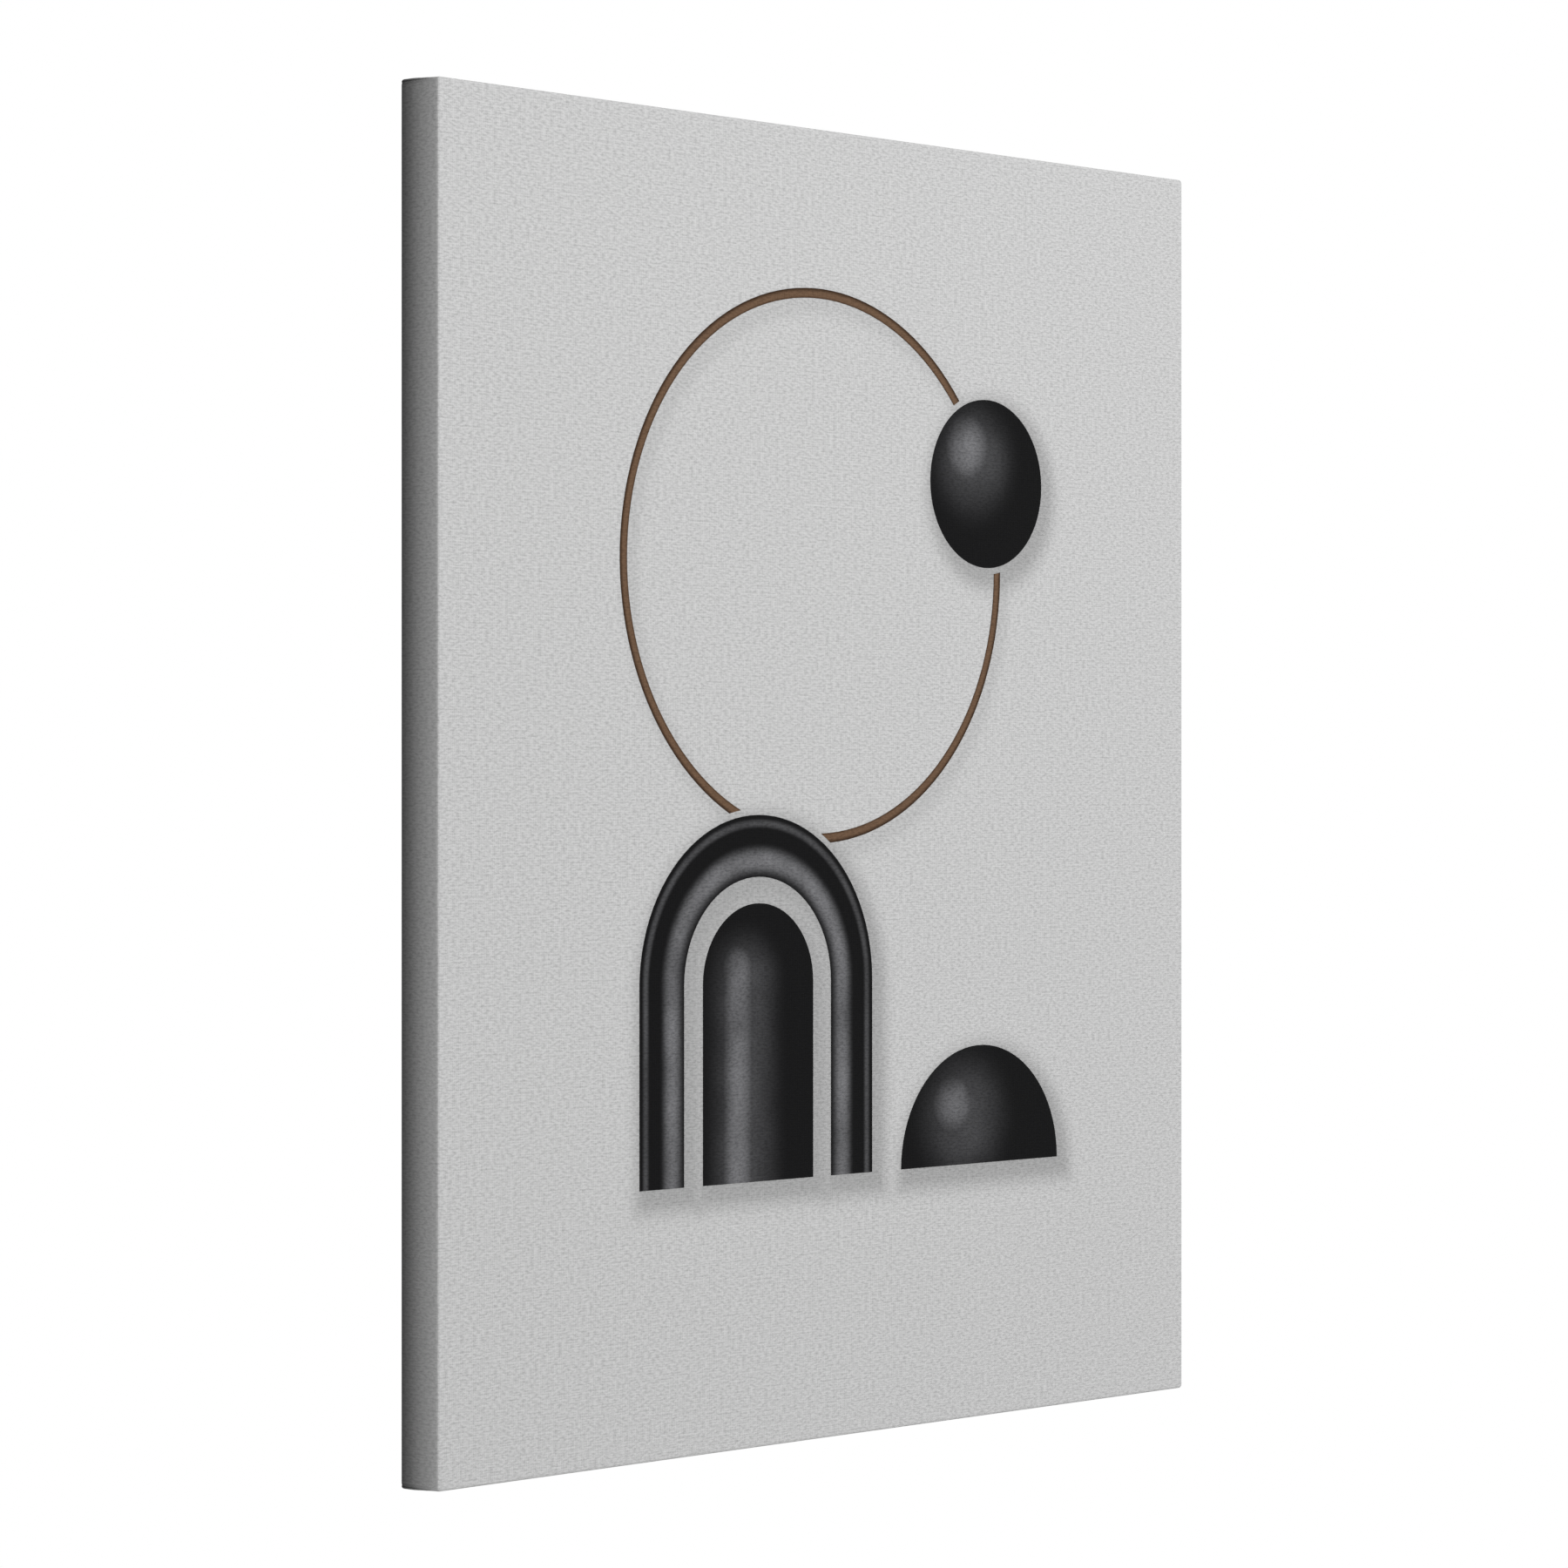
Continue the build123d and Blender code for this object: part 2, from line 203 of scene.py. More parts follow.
def wrapSurface(inset):
    # point = base + direction * outward while outward > 0, and a shrunk base rectangle below that
    base, way, xs, zs = edgePath()
    outward, across, along = wrapProfile(inset)
    half = np.array([xs[-1], zs[0]])
    length = np.linspace(0, slack["girth"], len(base), endpoint=False)
    fromCorner = (half - np.abs(base)).max(1)  # no wander where the rows of a corner arc meet
    wander = slack["wander"] * ripple(length, seed=9) * smooth(fromCorner / slack["wanderFade"])
    start = slack["wanderFrom"]
    outward = outward + wander[:, None] * grow(along - sideDepth, start, canvas["hem"] - start)
    inner, outer = np.minimum(outward, 0)[:, :, None], np.maximum(outward, 0)[:, :, None]
    spread = base[:, None] * (half + inner) / half + way[:, None] * outer
    x, z = spread[:, :, 0], spread[:, :, 1]
    y = across + hemLift(x, z) * (outward < 0)
    points = np.stack([x, y, z + middleZ], 2)
    flat = base[:, None] + way[:, None] * (canvas["cornerRadius"] + along)[:, None]
    return points, flat + np.array([0, middleZ]), np.broadcast_to(along, x.shape)


def gridFaces(rows, columns, loop=False):
    # quads between neighbouring rows and columns; loop joins the last row to the first
    row = np.arange(rows if loop else rows - 1)[:, None]
    column = np.arange(columns - 1)
    here, after = row * columns + column, (row + 1) % rows * columns + column
    return np.stack([here, here + 1, after + 1, after], 2).reshape(-1, 4)


def foldPad(signX, signZ):
    # the extra layers at one corner: closed loops in distance from the corner (a) and height over
    # the cloth (h), set along the wrap from the front edge to the hem's cut edge
    r, rf, rb = canvas["cornerRadius"], canvas["frontRadius"], canvas["backRadius"]
    sideRows, roundRows, hemRows = fold["rows"]
    down = np.linspace(rf, sideDepth - rb, sideRows)
    over = np.linspace(sideDepth - rb, sideDepth + rb, roundRows)[1:]
    back = np.linspace(sideDepth + rb, sideDepth + canvas["hem"], hemRows)[1:]
    wrap = np.concatenate([down, over, back])[:, None]
    near = np.maximum(wrap - sideDepth, 0) + fold["inset"]
    far = wrap + fold["past"]
    wide = far - near
    thick = pleat * smooth((wrap - rf) / fold["grow"]) + fold["thin"]
    ball = np.minimum(thick / 2, 0.3 * wide)  # both smaller where the fold is still narrow
    ramp = np.minimum(fold["slope"], 0.5 * wide)
    turn = np.linspace(-pi / 2, -3 * pi / 2, 7)  # round the folded edge
    creep = np.linspace(0, 1, 6)[1:-1]  # along the flat top
    fall = np.linspace(0, 1, 7)[1:-1]  # down the ramp
    a = [far, near + ball + ball * np.cos(turn)]
    h = [0 * far, (thick / 2) * (1 + np.sin(turn))]
    a += [near + ball + creep * (wide - ball - ramp), far - ramp + fall * ramp]
    h += [np.repeat(thick, len(creep), 1), thick * (1 - smooth(fall))]
    a, h = np.concatenate(a, 1), np.concatenate(h, 1) - fold["sunk"]
    bend = np.clip((wrap - sideDepth + rb) / (2 * rb), 0, 1) * pi / 2
    onHem, onSide = wrap > sideDepth + rb, wrap < sideDepth - rb
    outward = np.where(onHem, r - (wrap - sideDepth), r - rb + rb * np.cos(bend))
    across = np.where(onSide, frontY + wrap, backY - rb + rb * np.sin(bend))
    outward = outward + h * np.cos(bend)
    across = across + h * np.sin(bend)
    lean = np.clip((r - a) / r, 0, 1) * pi / 4
    x = (halfWide - np.maximum(a, r)) + outward * np.sin(lean)
    z = (halfHigh - r) + outward * np.cos(lean)
    points = np.stack([signX * x, across, middleZ + signZ * z], 2)
    flat = np.stack([signX * (halfWide - a), middleZ + signZ * (halfHigh + wrap + 0 * a)], 2)
    return points, flat, np.broadcast_to(wrap, a.shape)


def printShade(x, z):
    # darkness of the soft shadow printed round the shapes: 1 - (1 - a)(1 - b)..., where each
    # shape's own share falls off with the distance from it, measured from a point moved against
    # the light; x and z from the middle of the picture
    x, z = x - design["shadowMove"][0], z - design["shadowMove"][1]
    below = design["ground"] - z
    archX, archZ, archRadius, archHalf = design["arch"]
    fromArch = np.hypot(x - archX, np.maximum(z - archZ, 0))  # straight legs under the round
    arch = np.maximum(np.abs(fromArch - archRadius) - archHalf, below)
    coreX, coreZ, coreRadius = design["core"]
    core = np.maximum(np.hypot(x - coreX, np.maximum(z - coreZ, 0)) - coreRadius, below)
    domeX, domeZ, domeRadius = design["dome"]
    dome = np.maximum(np.hypot(x - domeX, z - domeZ) - domeRadius, below)
    discX, discZ, discRadius = design["disc"]
    disc = np.hypot(x - discX, z - discZ) - discRadius
    ringX, ringZ, ringRadius, ringHalf = design["ring"]
    ring = np.abs(np.hypot(x - ringX, z - ringZ) - ringRadius) - ringHalf
    light = 1 - design["ringDark"] * (1 - smooth(ring / design["ringReach"])) ** 2
    for distance in (arch, core, dome, disc):
        light = light * (1 - (1 - smooth(distance / design["shadowReach"])) ** 2)
    return 1 - light


def meshObject(name, points, faces, materials, slots=None, flat=None, marks=None):
    mesh = bpy.data.meshes.new(name)
    mesh.from_pydata(points.tolist(), [], faces)
    for material in materials:
        mesh.materials.append(material)
    if slots is not None:
        mesh.polygons.foreach_set("material_index", np.asarray(slots, dtype=np.int32))
    if flat is not None:  # the sheet laid out flat, in metres
        corner = np.empty(len(mesh.loops), dtype=np.int32)
        mesh.loops.foreach_get("vertex_index", corner)
        layer = mesh.uv_layers.new(name="flatSheet")
        layer.data.foreach_set("uv", flat[corner].astype(np.float32).ravel())
    for key, values in (marks or {}).items():
        layer = mesh.attributes.new(key, "FLOAT", "POINT")
        layer.data.foreach_set("value", values.astype(np.float32))
    shell = bmesh.new()
    shell.from_mesh(mesh)
    bmesh.ops.remove_doubles(shell, verts=shell.verts, dist=1e-6)
    bmesh.ops.recalc_face_normals(shell, faces=shell.faces)
    shell.to_mesh(mesh)
    shell.free()
    mesh.shade_smooth()
    mesh.set_sharp_from_angle(angle=radians(40))  # a sharper fold keeps its edge
    made = bpy.data.objects.new(name, mesh)
    bpy.context.collection.objects.link(made)
    return made


threads = {
    "count": 150,
    "radius": 0.00012,
    "length": (0.0010, 0.0042),
    "curl": 0.5,  # drift to the side, as a share of the length
    "hump": 0.0004,  # most that one arches off the wood
    "tucked": 0.0008,  # length inside the hem
    "fromCorner": 0.006,
    "rings": 8,
    "sides": 5,
}


def makeThreads(yarn):
    # loose ends of yarn at the hem's cut edge, sinking to the wood:
    # place = start + inward * run + aside * curl * t * t
    count, radius, sides = threads["count"], threads["radius"], threads["sides"]
    random = np.random.default_rng(12)
    cut, way = wrapSurface(0)[0][:, -1], edgePath()[1]
    inside = np.array([halfWide, halfHigh]) - canvas["hem"]
    clear = (inside - np.abs(cut[:, [0, 2]] - [0, middleZ])).max(1) > threads["fromCorner"]
    row = random.choice(np.flatnonzero(clear), count)
    part = random.uniform(0, 1, (count, 1))
    start = cut[row] * (1 - part) + cut[(row + 1) % len(cut)] * part
    inward = np.stack([-way[row, 0], 0 * row, -way[row, 1]], 1)
    aside = np.stack([-inward[:, 2], 0 * row, inward[:, 0]], 1)
    length = random.uniform(*threads["length"], count) * random.uniform(0.4, 1, count)
    curl = random.normal(0, threads["curl"], count) * length
    t = np.linspace(0, 1, threads["rings"])
    run = length[:, None] * t - threads["tucked"]
    hump = random.uniform(0, threads["hump"], (count, 1)) * np.sin(pi * t)
    middle = start[:, None] + inward[:, None] * run[:, :, None]
    middle += aside[:, None] * (curl[:, None] * t**2)[:, :, None]
    fromY = start[:, 1:2] - canvas["cloth"] / 2
    woodY = backY - canvas["cloth"] + 1.5 * radius
    middle[:, :, 1] = fromY + (woodY - fromY) * smooth(1.6 * t - 0.2) + hump
    turn = np.linspace(0, 2 * pi, sides + 1)[:-1, None]
    around = aside[:, None, None] * np.cos(turn) + np.array([0, 1, 0]) * np.sin(turn)
    size = radius * np.sqrt(1.05 - t**4)  # thins out at the loose end
    points = middle[:, :, None] + around * size[:, None, None]
    side = np.arange(sides)
    after = (side + 1) % sides
    ring = np.arange(len(t) - 1)[:, None] * sides
    quads = np.stack([ring + side, ring + after, ring + sides + after, ring + sides + side], 2)
    ends = np.stack([side, side[::-1] + (len(t) - 1) * sides])
    first = np.arange(count)[:, None, None] * len(t) * sides
    faces = (quads.reshape(-1, 4) + first).reshape(-1, 4).tolist()
    faces += (ends + first).reshape(-1, sides).tolist()
    made = meshObject("hem_threads", points.reshape(-1, 3), faces, [yarn])
    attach(made, "root")
    print("loose yarns:", count)
    return made


def makeCanvas(printed, raw, yarn):
    points, flats, edges, faces, slots = [], [], [], [], []
    count = 0

    def put(newPoints, newFlat, newEdge, newFaces, slot):
        nonlocal count
        points.append(newPoints.reshape(-1, 3))
        flats.append(newFlat.reshape(-1, 2))
        edges.append(newEdge.reshape(-1))
        faces.extend((newFaces + count).tolist())
        slots.extend([slot] * len(newFaces))
        count += len(points[-1])

    xs, zs = edgePath()[2:]
    gx, gz = np.meshgrid(xs, zs, indexing="ij")
    onFront = np.full_like(gx, -0.01)  # anything short of the front edge
    rims = []
    for inset, slot in ((0, 0), (canvas["cloth"], 1)):  # the printed face and the raw back
        wrapped, flat, past = wrapSurface(inset)
        rows, columns = past.shape
        rims.append(count + np.arange(rows) * columns + columns - 1)
        put(wrapped, flat, past, gridFaces(rows, columns, loop=True), slot)
        face = np.stack([gx, np.full_like(gx, frontY + inset), gz + middleZ], 2)
        put(face, face[:, :, [0, 2]], onFront, gridFaces(len(xs), len(zs)), slot)
    outer, inner = rims
    cut = np.stack([outer, np.roll(outer, -1), np.roll(inner, -1), inner], 1)
    faces.extend(cut.tolist())
    slots.extend([1] * len(cut))
    for signX, signZ in ((-1, -1), (-1, 1), (1, -1), (1, 1)):
        loops = [np.concatenate([part, part[:, :1]], 1) for part in foldPad(signX, signZ)]
        rows, columns = loops[2].shape
        ends = [count + row * columns + np.arange(columns - 1) for row in (0, rows - 1)]
        put(*loops, gridFaces(rows, columns), 0)
        faces.extend(end.tolist() for end in ends)
        slots.extend([1] * len(ends))
    flats = np.concatenate(flats)
    marks = {
        "pastEdge": np.concatenate(edges),  # distance on the sheet past the front edge
        "printShade": printShade(flats[:, 0], flats[:, 1] - middleZ),
    }
    sides = [printed, raw]
    made = meshObject("stretched_canvas", np.concatenate(points), faces, sides, slots, flats, marks)
    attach(made, "root")
    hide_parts("canvas")
    flatWide = 2 * (halfWide + sideDepth + canvas["hem"])
    flatHigh = 2 * (halfHigh + sideDepth + canvas["hem"])
    makeThreads(yarn)
    cutSize = f"{flatWide:.4f} by {flatHigh:.4f}"
    print("canvas:", len(made.data.polygons), "faces, cut", cutSize)


# materials


def linear(hexColour):
    value = [int(hexColour[i : i + 2], 16) / 255 for i in (0, 2, 4)]
    return [c / 12.92 if c <= 0.04045 else ((c + 0.055) / 1.055) ** 2.4 for c in value] + [1]


def addNode(tree, kind, inputs=(), stops=None, **settings):
    # inputs are values or sockets, by place or by name, and a map range's places are its value,
    # the low and high that it runs from, and the low and high that it runs to
    # stops are (place, hex colour) of a colour ramp
    node = tree.nodes.new("ShaderNode" + kind)
    for key, value in settings.items():
        setattr(node, key, value)
    if stops:
        ramp = node.color_ramp.elements
        while len(ramp) < len(stops):
            ramp.new(0.5)
        for element, (place, colour) in zip(ramp, stops):
            element.position = place
            element.color = linear(colour)
    named = inputs.items() if isinstance(inputs, dict) else enumerate(inputs)
    for socket, value in named:
        if isinstance(value, bpy.types.NodeSocket):
            tree.links.new(value, node.inputs[socket])
        elif value is not None:
            node.inputs[socket].default_value = value
    return node


def newMaterial(name, roughness, metallic=0, ior=1.5):
    material = bpy.data.materials.new(name)
    material.use_nodes = True
    tree = material.node_tree
    shader = tree.nodes["Principled BSDF"]
    shader.inputs["Roughness"].default_value = roughness
    shader.inputs["Metallic"].default_value = metallic
    if not metallic:
        shader.inputs["IOR"].default_value = ior
    return material, tree, shader


cotton = {
    "pitch": 0.0011,  # the real thread pitch is about 0.6 mm; drawn coarser so that it shows
    "stray": 0.0016,  # how far the threads wander sideways
    "dip": 0.35,  # how much lower a thread lies under a crossing
    "slub": 0.7,  # thick and thin places in the yarn
    "relief": 0.00012,
    "grainWide": 0.0024,  # specks of the coating, longer along the weft
    "grainHigh": 0.0010,
    "grainDark": 2.4,  # a dark speck's strength against a pale one's
    "grainRelief": 0.6,  # its height in the bump against a thread's
    "ior": 1.22,  # fibres and a matt coating reflect less than a smooth skin
    "inkIor": 1.18,
}


def weaveHeight(tree, place):
    # plain weave: each thread is sin(pi * fraction) across, and dips under every other crossing
    stray = (cotton["stray"],) * 3
    perThread = (1 / cotton["pitch"],) * 3
    noise = addNode(tree, "TexNoise", {"Vector": place, "Scale": 60.0, "Detail": 2.0})
    shift = addNode(tree, "VectorMath", [noise.outputs["Color"], (0.5,) * 3], operation="SUBTRACT")
    shift = addNode(tree, "VectorMath", [shift.outputs[0], stray], operation="MULTIPLY")
    moved = addNode(tree, "VectorMath", [place, shift.outputs[0]], operation="ADD")
    counted = addNode(tree, "VectorMath", [moved.outputs[0], perThread], operation="MULTIPLY")
    parts = addNode(tree, "SeparateXYZ", [counted.outputs[0]])
    heights = []
    for across, along, dip in ((0, 1, cotton["dip"]), (1, 0, -cotton["dip"])):
        u, v = parts.outputs[across], parts.outputs[along]
        index = addNode(tree, "Math", [u], operation="FLOOR")
        part = addNode(tree, "Math", [u], operation="FRACT")
        part = addNode(tree, "Math", [part.outputs[0], pi], operation="MULTIPLY")
        crown = addNode(tree, "Math", [part.outputs[0]], operation="SINE")
        step = addNode(tree, "Math", [v, index.outputs[0]], operation="ADD")
        step = addNode(tree, "Math", [step.outputs[0], 0.5], operation="ADD")
        step = addNode(tree, "Math", [step.outputs[0], pi], operation="MULTIPLY")
        wave = addNode(tree, "Math", [step.outputs[0]], operation="COSINE")
        over = [wave.outputs[0], dip, 1 - cotton["dip"]]
        over = addNode(tree, "Math", over, operation="MULTIPLY_ADD")
        height = addNode(tree, "Math", [crown.outputs[0], over.outputs[0]], operation="MULTIPLY")
        heights.append(height.outputs[0])
    top = addNode(tree, "Math", heights, operation="MAXIMUM")
    uneven = {"Vector": counted.outputs[0], "Scale": 0.45, "Detail": 3.0}
    uneven = addNode(tree, "TexNoise", uneven).outputs["Fac"]
    slub = [uneven, cotton["slub"], -cotton["slub"] / 2]
    slub = addNode(tree, "Math", slub, operation="MULTIPLY_ADD")
    return addNode(tree, "Math", [top.outputs[0], slub.outputs[0]], operation="ADD").outputs[0]


def clothFinish(tree, shader, place, colour, speck, gapShade=0.05, amount=1.0):
    # the coating's specks over the given colour, with painted shade darkening the gaps between
    # threads, and the weave as bump
    height = weaveHeight(tree, place)
    # painted shade: the colour darkens where the weave lies low, between the threads
    threadGapShade = addNode(tree, "MapRange", [height, 0.1, 0.8, 1 - gapShade, 1.0])
    perSpeck = (1 / cotton["grainWide"], 1 / cotton["grainHigh"], 1)
    counted = addNode(tree, "VectorMath", [place, perSpeck], operation="MULTIPLY").outputs[0]
    grain = {"Vector": counted, "Scale": 1.0, "Detail": 2.0, "Roughness": 0.6}
    grain = addNode(tree, "TexNoise", grain).outputs["Fac"]
    darkest = 1 - cotton["grainDark"] * speck
    specks = addNode(tree, "MapRange", [grain, 0.25, 0.6, darkest, 1 + speck])
    even = addNode(tree, "Mix", [amount, None, 1.0, specks.outputs[0]])
    tone = addNode(tree, "Math", [threadGapShade.outputs[0], even.outputs[0]], operation="MULTIPLY")
    tinted = {0: colour, "Scale": tone.outputs[0]}
    tinted = addNode(tree, "VectorMath", tinted, operation="SCALE")
    tree.links.new(tinted.outputs[0], shader.inputs["Base Color"])
    rough = [grain, cotton["grainRelief"], height]
    rough = addNode(tree, "Math", rough, operation="MULTIPLY_ADD").outputs[0]
    bump = addNode(tree, "Bump", {"Strength": 1.0, "Distance": cotton["relief"], "Height": rough})
    tree.links.new(bump.outputs[0], shader.inputs["Normal"])


printColours = {
    # the ground is a little lighter at the top: faint painted shade, as light from above falls,
    # added to the lamps' own fall-off
    "groundTop": "cecece",
    "groundLow": "cacaca",
    # painted shade on all four sides: a grey that deepens from the front edge to the back edge, on
    # top of the lamps' own shading; the bleed on the hem keeps the darkest of it
    "sideShadeFront": "c0c0c0",
    "sideShadeMiddle": "999999",
    "sideShadeFar": "747474",
    "sideShadeBack": "4e4e4e",
    "shadedBleed": "4c4c4c",
    "bare": "efede8",
    "bleedWidth": 0.006,
    "bleedFade": 0.001,
    "bareStep": 0.006,  # share of the wrapped part over which the ink's tone ends
    "edgeFade": 0.0004,  # either side of the front edge, from the face's tone to the side's
    "speck": 0.105,
    # painted shade in the gaps between threads
    "gapShade": 0.06,
    "bareSpeck": 0.3,  # share of the specks that unprinted cloth keeps
}


def printedCanvas():
    # poly-cotton artist canvas with a matt white coating, printed: no shine, a fine even weave; its
    # four sides carry painted shade, deepening towards the back edge
    material, tree, shader = newMaterial("printed_cotton_canvas_shaded_sides", 0.9, ior=cotton["ior"])
    flat = addNode(tree, "UVMap", uv_map="flatSheet").outputs[0]
    past = addNode(tree, "Attribute", attribute_name="pastEdge").outputs["Fac"]
    place = addNode(tree, "TexCoord").outputs["Object"]
    parts = addNode(tree, "SeparateXYZ", [place])
    upright = addNode(tree, "MapRange", [parts.outputs[2], canvasLow[2], canvasHigh[2]])
    # painted shade: the ground lighter towards the top
    ground = [(0, printColours["groundLow"]), (1, printColours["groundTop"])]
    ground = addNode(tree, "ValToRGB", [upright.outputs[0]], stops=ground)
    reach = sideDepth + canvas["hem"]
    whole = addNode(tree, "MapRange", [past, 0.0, reach])
    turned = sideDepth / reach
    ends = (sideDepth + printColours["bleedWidth"]) / reach
    # painted shade down the sides, darkest at the back edge, then the bleed as dark, then bare
    # cloth
    side = addNode(
        tree,
        "ValToRGB",
        [whole.outputs[0]],
        stops=[
            (0, printColours["sideShadeFront"]),
            (turned * 0.5, printColours["sideShadeMiddle"]),
            (turned * 0.75, printColours["sideShadeFar"]),
            (turned * 0.97, printColours["sideShadeBack"]),
            (ends, printColours["shadedBleed"]),
            (ends + printColours["bareStep"], printColours["bare"]),
        ],
    )
    shade = addNode(tree, "Attribute", attribute_name="printShade").outputs["Fac"]
    kept = addNode(tree, "Math", [shade, -design["shadowDark"], 1.0], operation="MULTIPLY_ADD")
    shaded = {0: ground.outputs[0], "Scale": kept.outputs[0]}
    shaded = addNode(tree, "VectorMath", shaded, operation="SCALE")
    fade = printColours["edgeFade"]
    onSide = addNode(tree, "MapRange", [past, -fade, fade])
    colour = {0: onSide.outputs[0], 6: shaded.outputs[0], 7: side.outputs[0]}
    colour = addNode(tree, "Mix", colour, data_type="RGBA").outputs[2]
    edge = ends * reach
    inked = [past, edge, edge + printColours["bleedFade"], 1.0, printColours["bareSpeck"]]
    inked = addNode(tree, "MapRange", inked).outputs[0]
    clothFinish(tree, shader, flat, colour, printColours["speck"], printColours["gapShade"], inked)
    return material


def rawCanvas():
    # the uncoated back of the same cloth: cream cotton, a little hairy
    material, tree, shader = newMaterial("raw_cotton_back", 0.95, ior=cotton["ior"])
    flat = addNode(tree, "UVMap", uv_map="flatSheet").outputs[0]
    patch = addNode(tree, "TexNoise", {"Vector": flat, "Scale": 14.0, "Detail": 4.0})
    cream = [(0.3, "e3dccb"), (0.7, "ebe5d6")]
    colour = addNode(tree, "ValToRGB", [patch.outputs["Fac"]], stops=cream)
    # stronger painted shade between the threads of the open raw weave
    clothFinish(tree, shader, flat, colour.outputs[0], 0.05, gapShade=0.16)
    return material


def cottonYarn():
    # unbleached cotton yarn: cream and matt, a little uneven
    material, tree, shader = newMaterial("loose_cotton_yarn", 0.95, ior=cotton["ior"])
    place = addNode(tree, "TexCoord").outputs["Object"]
    patch = addNode(tree, "TexNoise", {"Vector": place, "Scale": 260.0})
    cream = [(0.35, "ddd5c2"), (0.65, "f0ebde")]
    colour = addNode(tree, "ValToRGB", [patch.outputs["Fac"]], stops=cream)
    tree.links.new(colour.outputs[0], shader.inputs["Base Color"])
    return material


ink = {
    "dark": "0c0c0d",
    "sheen": "8a8a8d",
    "brown": "6d5542",
    "brownEdge": "3a291c",
    "brownInward": 0.0004,  # the line's lit part lies this much inside its middle
    "lines": (  # lit lines round and down from a middle: middle, radius, half width, strength
        ((-0.054, -0.090), 0.0555, 0.0085, 0.75),
        ((-0.054, -0.090), 0.0722, 0.0028, 0.30),
        ((-0.067, -0.083), 0.0, 0.0150, 0.70),
        ((-0.063, -0.088), 0.0, 0.0300, 0.28),
    ),
    "spots": (  # lit spots on the disc and the dome: middle, reach, strength
        ((0.0895, 0.1585), 0.023, 0.85),
        ((0.0935, 0.1530), 0.038, 0.30),
        ((0.0790, -0.1520), 0.021, 0.80),
        ((0.0860, -0.1580), 0.042, 0.30),
    ),
}


def flatPlace(tree):
    # the face's own x and z as the sheet's two directions
    place = addNode(tree, "TexCoord").outputs["Object"]
    parts = addNode(tree, "SeparateXYZ", [place])
    return addNode(tree, "CombineXYZ", [parts.outputs[0], parts.outputs[2], 0.0]).outputs[0]


def ringDistance(tree, flat, middle, radius, straight):
    # distance from a circle's line, which goes on straight down below its middle where asked
    start = (middle[0], middle[1] + middleZ, 0)
    moved = addNode(tree, "VectorMath", [flat, start], operation="SUBTRACT")
    parts = addNode(tree, "SeparateXYZ", [moved.outputs[0]])
    lowest = 0.0 if straight else -9.0
    up = addNode(tree, "Math", [parts.outputs[1], lowest], operation="MAXIMUM")
    joined = addNode(tree, "CombineXYZ", [parts.outputs[0], up.outputs[0], 0.0])
    length = addNode(tree, "VectorMath", [joined.outputs[0]], operation="LENGTH")
    past = addNode(tree, "Math", [length.outputs["Value"], radius], operation="SUBTRACT")
    return addNode(tree, "Math", [past.outputs[0]], operation="ABSOLUTE").outputs[0]


def darkInk():
    # pigment ink soaked into the coating: as matt as the cloth, black, with airbrushed grey lights
    material, tree, shader = newMaterial("dark_pigment_ink", 0.8, ior=cotton["inkIor"])
    flat = flatPlace(tree)
    distances = []
    for middle, radius, half, strength in ink["lines"]:
        distances.append((ringDistance(tree, flat, middle, radius, True), half, strength))
    for (x, z), reach, strength in ink["spots"]:
        away = addNode(tree, "VectorMath", [flat, (x, z + middleZ, 0)], operation="DISTANCE")
        distances.append((away.outputs["Value"], reach, strength))
    lit = 0.0
    for distance, reach, strength in distances:
        glow = [distance, 0.0, reach, strength, 0.0]
        glow = addNode(tree, "MapRange", glow, interpolation_type="SMOOTHERSTEP")
        lit = addNode(tree, "Math", [glow.outputs[0], lit], operation="MAXIMUM").outputs[0]
    wide = addNode(tree, "TexNoise", {"Vector": flat, "Scale": 34.0, "Detail": 3.0})
    uneven = addNode(tree, "MapRange", [wide.outputs["Fac"], 0.3, 0.7, 0.55, 1.0])
    lit = addNode(tree, "Math", [lit, uneven.outputs[0]], operation="MULTIPLY").outputs[0]
    colour = addNode(tree, "ValToRGB", [lit], stops=[(0, ink["dark"]), (1, ink["sheen"])])
    clothFinish(tree, shader, flat, colour.outputs[0], 0.16)
    return material


def brownInk():
    # the same ink in brown, darker towards the line's two edges
    material, tree, shader = newMaterial("brown_pigment_ink", 0.8, ior=cotton["inkIor"])
    flat = flatPlace(tree)
    radius, half = design["ring"][2:]
    lit = radius - ink["brownInward"]
    distance = ringDistance(tree, flat, design["ring"], lit, False)
    across = addNode(tree, "MapRange", [distance, 0.0, half])
    stops = [(0, ink["brown"]), (0.35, ink["brown"]), (1, ink["brownEdge"])]
    colour = addNode(tree, "ValToRGB", [across.outputs[0]], stops=stops)
    clothFinish(tree, shader, flat, colour.outputs[0], 0.12)
    return material


pine = {
    "early": "ead6ad",
    "late": "c1945a",
    "heart": "dcb489",  # the redder wood nearer the pith
    "canal": "a97c4d",
    "knot": (
        (0, "7d4d2c"),
        (0.3, "97663e"),
        (0.45, "7a4929"),
        (0.62, "8a5835"),
        (0.8, "4c2c19"),
        (1, "b07e4c"),
    ),
    "ring": 0.0021,  # width of a year's growth
    "uneven": 1.6,  # by how many years the rings crowd and spread
    "bend": 0.011,  # how far the rings stray from round
    "fibre": 0.0005,
    "knotSpacing": 0.15,
    "knotSize": 0.0046,
    "knotRim": 0.002,
    "knotStain": 0.004,
    "knotPush": 0.0065,  # how far a knot bends the grain, and how far round it
    "knotReach": 0.024,
}

